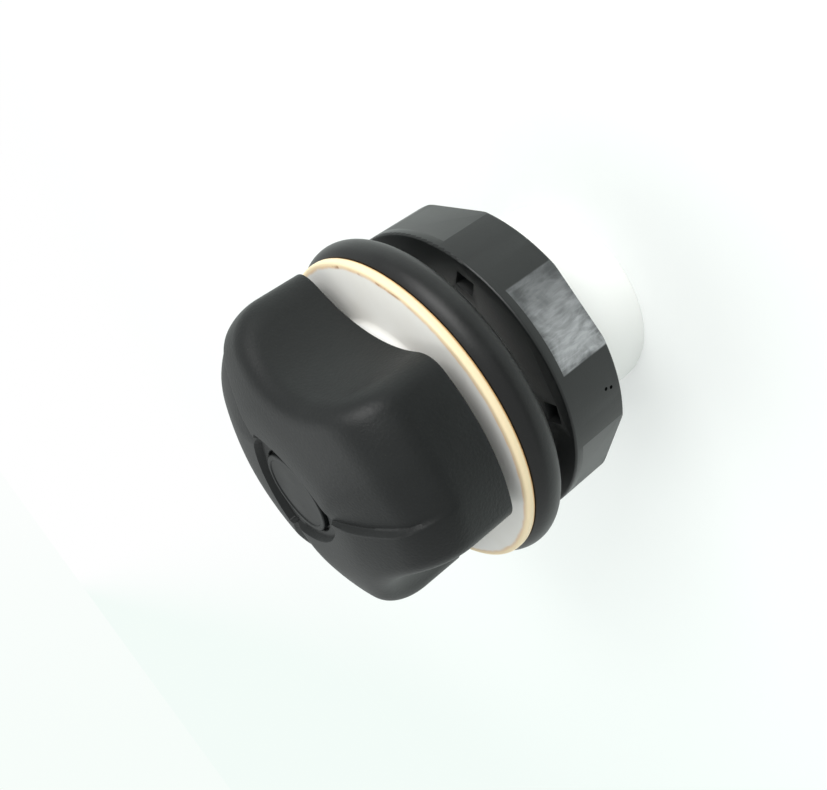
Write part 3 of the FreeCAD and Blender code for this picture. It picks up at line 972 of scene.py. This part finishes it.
@dataclass
class Cap:
    """The three-lobed screw cap; sizes in millimetres, angles in degrees."""

    form: KnobForm = field(default_factory=KnobForm)
    wall: float = 2.8
    rows: int = 96
    inner_rows: int = 32
    inner_opening: float = 4.0
    steps: int = 480
    ball_top: float = 0.1
    ball_weld: float = 0.00002
    recess_floor: float = 86.6
    recess_steps: tuple[tuple[float, float], ...] = ((0.1, 0.12), (0.9, 0.3), (1.0, 0.12))
    pocket: float = 10.6
    pocket_edge: float = 0.3
    pocket_floor: float = 85.4
    badge_radius: float = 10.0
    badge_thickness: float = 2.0
    badge_rim: float = 1.1
    badge_dish: float = 0.25
    stem_root: float = 21.8
    stem_crest: float = 22.75
    stem_low: float = 43.0
    stem_bore: float = 19.4
    screw_pitch: float = 6.0
    overlap: float = 0.2
    seat: float = 25.8
    core: float = 27.9
    core_depth: float = 0.6
    seal_low: float = 60.0
    seal_high: float = 62.0
    seal_gap: float = 0.4
    skirt_round: float = 0.4
    skirt_angle: float = 50.0
    grain: GrainedBlack = field(default_factory=GrainedBlack)
    smooth: SmoothBlack = field(default_factory=SmoothBlack)
    rubber: BlackRubber = field(default_factory=BlackRubber)

    def cover(self, rows: int, opening: Callable[[np.ndarray], np.ndarray], inset: float = 0.0,
              ceiling: Optional[float] = None) -> bmesh.types.BMesh:
        """An open grid over the knob's form, from an opening at the top down to the skirt.

        The grid starts as part of a unit ball. Its columns follow the creases as they swing round.

        Args:
            rows: the number of rows.
            opening: the opening's radius in some directions round the axis.
            inset: how far inside the form the grid lies.
            ceiling: the height that it stays under, if any.

        Returns:
            The grid in metres.
        """
        mesh = bmesh.new()
        level = math.pi / 2.0
        chain = [mesh.verts.new((math.sin(tilt), 0.0, math.cos(tilt)))
                 for tilt in np.linspace(self.ball_top, level, rows + 1)]
        for above, below in zip(chain, chain[1:]):
            mesh.edges.new((above, below))
        spin_round(mesh, self.steps, self.ball_weld)
        ball = np.array([v.co for v in mesh.verts])
        ball_turn = np.arctan2(ball[:, 1], ball[:, 0])
        share = np.arccos(np.clip(ball[:, 2], -1.0, 1.0)) - self.ball_top
        share = share / (level - self.ball_top)
        first = np.arctan2(opening(ball_turn), (ceiling or self.form.flat) - self.form.skirt)
        tilt = first + share * (level - first)
        turn = ball_turn
        for _ in range(2):
            ways = np.stack((np.sin(tilt) * np.cos(turn), np.sin(tilt) * np.sin(turn),
                             np.cos(tilt)), axis=1)
            places = self.form.reach(ways, inset, ceiling)
            radii = np.hypot(places[:, 0], places[:, 1])
            turn = ball_turn + np.radians(self.form.drift(radii))
        for vert, place in zip(mesh.verts, places):
            vert.co = place * MM
        return mesh

    def top_loop(self, mesh: bmesh.types.BMesh) -> list[bmesh.types.BMEdge]:
        """The edges round a grid's opening at the top."""
        above = (self.form.skirt + 5.0) * MM
        return [e for e in mesh.edges if e.is_boundary and e.verts[0].co.z > above]

    @staticmethod
    def sink(mesh: bmesh.types.BMesh, loop: list[bmesh.types.BMEdge],
             move: Callable[[Vector], tuple[float, float]]) -> list[bmesh.types.BMEdge]:
        """Extrudes a loop of edges and moves its new points.

        Args:
            mesh: the mesh.
            loop: the loop's edges.
            move: gives a point's new radius and height from its old place, in metres.

        Returns:
            The new loop's edges.
        """
        grown = bmesh.ops.extrude_edge_only(mesh, edges=loop)["geom"]
        for vert in (g for g in grown if isinstance(g, bmesh.types.BMVert)):
            radius, height = move(vert.co)
            flat = Vector((vert.co.x, vert.co.y, 0.0))
            flat.length = radius
            vert.co = Vector((flat.x, flat.y, height))
        return [g for g in grown if isinstance(g, bmesh.types.BMEdge) and g.is_boundary]

    def shell(self) -> bmesh.types.BMesh:
        """The knob's domed wall with its flutes, swales, recess and the badge's pocket.

        Returns:
            The closed wall in metres.
        """
        floor = self.recess_floor * MM
        outer = self.cover(self.rows, self.form.recess_rim)
        loop = self.top_loop(outer)
        for share, inset in self.recess_steps:
            loop = self.sink(outer, loop, lambda co: (
                co.xy.length - inset * MM, co.z + (floor - co.z) * share))
        for radius, height in ((self.pocket + self.pocket_edge, self.recess_floor),
                               (self.pocket, self.recess_floor - self.pocket_edge),
                               (self.pocket, self.pocket_floor)):
            loop = self.sink(outer, loop, lambda co: (radius * MM, height * MM))
        bmesh.ops.edgeloop_fill(outer, edges=loop)
        inner = self.cover(self.inner_rows, lambda turn: np.full(turn.shape, self.inner_opening),
                           self.wall, self.pocket_floor - self.wall)
        bmesh.ops.edgeloop_fill(inner, edges=self.top_loop(inner))
        mesh = join_meshes([outer, inner])
        self.close_brim(mesh)
        return mesh

    def close_brim(self, mesh: bmesh.types.BMesh) -> None:
        """Joins the outer and the inner grid at the skirt and rounds the skirt's edges.

        Args:
            mesh: the mesh with both grids.
        """
        brim = sorted((v for v in mesh.verts if v.is_boundary),
                      key=lambda v: round(math.atan2(v.co.y, v.co.x), 4))
        pairs = [sorted(brim[i:i + 2], key=lambda v: v.co.xy.length)
                 for i in range(0, len(brim), 2)]
        for (inside, outside), (next_inside, next_outside) in zip(pairs, pairs[1:] + pairs[:1]):
            mesh.faces.new((inside, outside, next_outside, next_inside))
        bmesh.ops.recalc_face_normals(mesh, faces=mesh.faces[:])
        limit = math.radians(self.skirt_angle)
        rims = [e for e in mesh.edges if e.is_manifold and e.calc_face_angle(0.0) > limit
                and all(abs(v.co.z - self.form.skirt * MM) < LEVEL for v in e.verts)]
        round_edges(mesh, rims, self.skirt_round)

    def stem(self) -> bmesh.types.BMesh:
        """The hollow screw stem with the seal's seat, let into the crown.

        Returns:
            The closed stem in metres, without its thread.
        """
        ceiling = self.pocket_floor - self.wall
        outline = [
            Corner(self.stem_bore, self.stem_low, 0.4),
            Corner(self.stem_root, self.stem_low, 0.8),
            Corner(self.stem_root, self.seal_high),
            Corner(self.seat, self.seal_high),
            Corner(self.seat, self.form.skirt, 0.3),
            Corner(self.core, self.form.skirt, 0.3),
            Corner(self.core - 0.4, ceiling + self.core_depth),
            Corner(0.0, ceiling + self.core_depth),
            Corner(0.0, ceiling - 0.05),
            Corner(self.stem_bore, ceiling - 0.05, 1.0),
        ]
        return turn_outline(outline, steps=120)

    def build(self) -> None:
        """Builds the knob, the badge plate and the seal."""
        screw = Thread(root=self.stem_root - self.overlap, crest=self.stem_crest,
                       pitch=self.screw_pitch, low=self.stem_low + 1.2, high=self.seal_low - 1.0,
                       root_width=2.6, crest_width=1.2)
        mesh = join_meshes([self.shell(), self.stem(), screw.build()])
        make_piece("cap_moulding", mesh, Body.CAP, "cap_plastic", self.grain,
                   stands_for="cap_knob", shading=Shading.SOFT)
        top = self.pocket_floor + self.badge_thickness
        plate = [
            Corner(0.0, self.pocket_floor),
            Corner(self.badge_radius, self.pocket_floor),
            Corner(self.badge_radius, top, 0.4),
            Corner(self.badge_radius - self.badge_rim, top, 0.15),
            Corner(self.badge_radius - self.badge_rim - 0.2, top - self.badge_dish),
            Corner(0.0, top - self.badge_dish),
        ]
        make_piece("badge_plate", turn_outline(plate, steps=96, closed=False), Body.CAP,
                   "badge_plastic", self.smooth, stands_for="cap_badge")
        ring = [
            Corner(self.stem_root + self.seal_gap, self.seal_low, 0.3),
            Corner(self.seat - self.seal_gap, self.seal_low, 0.3),
            Corner(self.seat - self.seal_gap, self.seal_high, 0.3),
            Corner(self.stem_root + self.seal_gap, self.seal_high, 0.3),
        ]
        make_piece("seal_rubber_ring", turn_outline(ring, steps=96), Body.SEAL, "seal_rubber",
                   self.rubber, stands_for="cap_seal")


# Studio: camera, lights, room and table

def show_to_camera(tree: bpy.types.NodeTree, seen: bpy.types.Node, unseen: bpy.types.Node,
                   output: str, share: Value = 1.0) -> None:
    """Gives the camera's rays a shader of their own.

    Args:
        tree: the node tree.
        seen: the shader for the camera's rays.
        unseen: the shader for all other rays.
        output: the name of the tree's output node.
        share: how far the camera sees its own shader.
    """
    rays = tree.nodes.new("ShaderNodeLightPath")
    factor = Signal(tree, rays.outputs["Is Camera Ray"]) * share
    shown = tree.nodes.new("ShaderNodeMixShader")
    tree.links.new(factor.socket, shown.inputs["Fac"])
    tree.links.new(unseen.outputs[0], shown.inputs[1])
    tree.links.new(seen.outputs[0], shown.inputs[2])
    tree.links.new(shown.outputs[0], tree.nodes[output].inputs["Surface"])


@dataclass(frozen=True)
class Lamp:
    """A rectangular area light, aimed at the object; metres, watts and a colour."""

    name: str
    place: Triple
    size: tuple[float, float]
    power: float
    colour: Colour


@dataclass
class Studio:
    """The photograph's camera, soft light, a pale room and a table; sizes in metres.

    The camera comes from a fit of the flange's rim in units of the flange's radius: its centre and
    the object's axis, seen with x right, y down and z forward, and the object's turn about it.
    """

    image_width: float = 827.0
    focal_pixels: float = 900.0
    sensor: float = 36.0
    unit: float = 0.040
    flange_base: float = 0.054
    centre: Vector = field(default_factory=lambda: Vector((-0.0279, 0.0902, 5.2419)))
    axis: Vector = field(default_factory=lambda: Vector((0.739, -0.5351, 0.4094)))
    zero_turn: float = 3.3
    target: Vector = field(default_factory=lambda: Vector((0.0, 0.0, 0.058)))
    lamps: tuple[Lamp, ...] = (
        Lamp("key", (0.42, -0.43, 0.36), (0.40, 0.40), 3.0, (1.0, 1.0, 0.99)),
        Lamp("top", (0.10, 0.30, 0.80), (0.60, 0.60), 1.6, (0.98, 1.0, 0.99)),
    )
    room: Colour = (0.96, 1.0, 0.985)
    room_strength: float = 0.78
    room_low: Colour = (0.93, 0.985, 0.955)
    room_fade: tuple[float, float] = (-0.1, 0.4)
    table: Colour = (0.93, 0.97, 0.95)
    # painted shade: the table's front, so that the black parts reflect a dim room
    table_shade: Colour = (0.16, 0.17, 0.165)
    table_seen: Colour = (0.90, 0.975, 0.94)
    table_radius: float = 6.0
    shadow_radii: tuple[float, float] = (0.10, 0.55)
    shadow_share: float = 0.65
    shade_near: float = 0.10
    shade_far: float = 0.20

    def camera_axes(self) -> tuple[Vector, Vector, Vector]:
        """The frame's axes as the camera sees them.

        Returns:
            The X, Y and Z axes, each with x right, y down and z forward.
        """
        deep = self.axis.normalized()
        first = deep.cross(Vector(UP)).normalized()
        second = deep.cross(first)
        turn = math.radians(self.zero_turn)
        east = first * math.cos(turn) + second * math.sin(turn)
        quarter = turn - math.pi / 2.0
        north = first * math.cos(quarter) + second * math.sin(quarter)
        return east, north, -deep

    def place_camera(self) -> None:
        """Sets the camera from the fit."""
        axes = self.camera_axes()
        origin = self.centre * self.unit - axes[2] * self.flange_base
        view = Matrix([[axes[j][i] for j in range(3)] for i in range(3)])
        right, down, forward = view[0], view[1], view[2]
        place = Vector([-axes[j].dot(origin) for j in range(3)])
        turn = Matrix((right, -down, -forward)).transposed()
        data = bpy.data.cameras.new("photo_camera")
        data.sensor_width = self.sensor
        data.sensor_fit = "HORIZONTAL"
        data.lens = self.sensor * self.focal_pixels / self.image_width
        data.clip_start = 0.005
        data.clip_end = 20.0
        camera = add_object("photo_camera", data)
        camera.matrix_world = Matrix.Translation(place) @ turn.to_4x4()
        bpy.context.scene.camera = camera
        LOG.info("camera at %s", [round(v, 4) for v in place])

    def place_lamps(self) -> None:
        """Sets the soft lights."""
        for lamp in self.lamps:
            data = bpy.data.lights.new(lamp.name, "AREA")
            data.shape = "RECTANGLE"
            data.size, data.size_y = lamp.size
            data.energy = lamp.power
            data.color = lamp.colour
            light = add_object(lamp.name, data)
            light.location = lamp.place
            aim = self.target - Vector(lamp.place)
            light.rotation_euler = aim.to_track_quat("-Z", "Y").to_euler()

    def light_world(self) -> None:
        """Gives the world an even pale light; the camera sees it white, faintly green low down."""
        world = bpy.data.worlds.new("pale_room")
        world.use_nodes = True
        tree = world.node_tree
        light = tree.nodes["Background"]
        light.inputs["Color"].default_value = (*self.room, 1.0)
        light.inputs["Strength"].default_value = self.room_strength
        place = tree.nodes.new("ShaderNodeTexCoord")
        split = tree.nodes.new("ShaderNodeSeparateXYZ")
        tree.links.new(place.outputs["Generated"], split.inputs["Vector"])
        down = [axis.y for axis in self.camera_axes()]
        depth = sum((Signal(tree, split.outputs[i]) * down[i] for i in range(3)), 0.0)
        tint = tree.nodes.new("ShaderNodeMix")
        tint.data_type = "RGBA"
        colours = [socket for socket in tint.inputs if socket.type == "RGBA"]
        colours[0].default_value = (1.0, 1.0, 1.0, 1.0)
        colours[1].default_value = (*self.room_low, 1.0)
        tree.links.new(depth.between(*self.room_fade).socket, tint.inputs["Factor"])
        seen = tree.nodes.new("ShaderNodeBackground")
        tree.links.new(next(s for s in tint.outputs if s.type == "RGBA"), seen.inputs["Color"])
        show_to_camera(tree, seen, light, "World Output")
        bpy.context.scene.world = world

    def lay_floor(self) -> None:
        """Lays the pale table, which keeps the object's shadow and has painted shade at the front.
        """
        mesh = bmesh.new()
        bmesh.ops.create_circle(mesh, cap_ends=True, segments=96, radius=self.table_radius)
        data = bpy.data.meshes.new("table")
        mesh.to_mesh(data)
        mesh.free()
        table = add_object("table", data)
        shader = Shader("table_top")
        # painted shade: the front of the table is dark, so that the black parts reflect a dim room
        # there
        front = (shader.y * -1.0).between(self.shade_near, self.shade_far)
        colour = shader.mix(front, self.table, self.table_shade)
        shader.finish(colour, 0.6, Specular_IOR_Level=0.2)
        data.materials.append(shader.material)
        far = shader.radius().between(*self.shadow_radii) * self.shadow_share
        tint = shader.mix((shader.x * -1.0).between(0.0, 0.2), (1.0, 1.0, 1.0), self.table_seen)
        seen = shader.add("ShaderNodeEmission", Color=tint, Strength=1.0)
        show_to_camera(shader.tree, seen, shader.shader, "Material Output",
                       far + (1.0 - self.shadow_share))

    def build(self) -> None:
        """Sets up the camera, lights, room and table."""
        self.place_camera()
        self.place_lamps()
        self.light_world()
        self.lay_floor()
        bpy.context.scene.view_settings.view_transform = "Standard"


def main() -> None:
    """Builds the pieces in order."""
    logging.basicConfig(level=logging.INFO, format="%(message)s")
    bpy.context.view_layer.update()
    Studio().build()
    for builder in (Neck(), SealingRing(), LockNut(), Cap()):
        builder.build()


if __name__ == "__main__":
    main()
